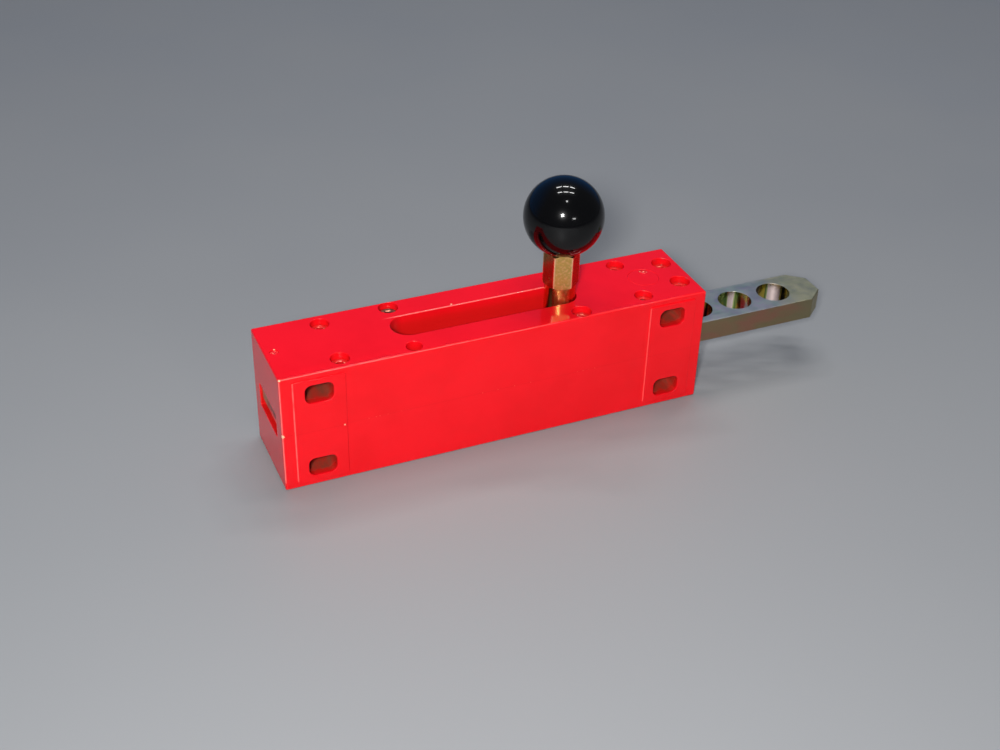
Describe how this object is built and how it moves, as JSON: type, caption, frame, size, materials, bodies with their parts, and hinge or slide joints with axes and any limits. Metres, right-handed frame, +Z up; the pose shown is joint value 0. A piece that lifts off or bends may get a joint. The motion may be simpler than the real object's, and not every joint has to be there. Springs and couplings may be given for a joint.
{
  "type": "manual slide bolt",
  "caption": "Hand-operated slide bolt with a ball handle: a flat bar with padlock holes slides out of a split block housing with slotted mounting pads.",
  "frame": {"origin": "centre of the housing's bottom face", "axes": "+X the way the bolt comes out, +Z up to the handle, -Y the side with the raised mounting pads"},
  "size_m": [0.2441, 0.0387, 0.1018],
  "materials": {
    "housing_paint": "gloss red paint",
    "guide_bronze": "machined bearing bronze",
    "bolt_chromate": "yellow chromated steel",
    "ground_steel": "ground steel",
    "screw_steel": "black oxide",
    "stem_brass": "turned brass-coloured metal",
    "knob_plastic": "polished black"
  },
  "bodies": {
    "housing": {"housing_upper": "housing_paint", "housing_lower": "housing_paint", "top_plug": "housing_paint", "front_guide_block": "guide_bronze", "rear_guide_block": "guide_bronze", "lower_wear_strip": "guide_bronze", "rear_end_plug": "bolt_chromate", "rear_spring_pin": "ground_steel", "dowel_pin_1": "ground_steel", "dowel_pin_2": "ground_steel", "front_guide_screw_1": "screw_steel", "front_guide_screw_2": "screw_steel", "end_guide_screw_1": "screw_steel", "end_guide_screw_2": "screw_steel", "rear_guide_screw_1": "screw_steel", "rear_guide_screw_2": "screw_steel", "clamp_screw_1": "screw_steel", "clamp_screw_2": "screw_steel"},
    "bolt": {"bolt_bar": "bolt_chromate", "handle_stem": "stem_brass", "knob_insert": "stem_brass", "ball_knob": "knob_plastic"}
  },
  "joints": [
    {"name": "bolt_slide", "type": "slide", "parent": "housing", "child": "bolt", "axis": [1, 0, 0], "range_m": [-0.0644, 0]}
  ]
}
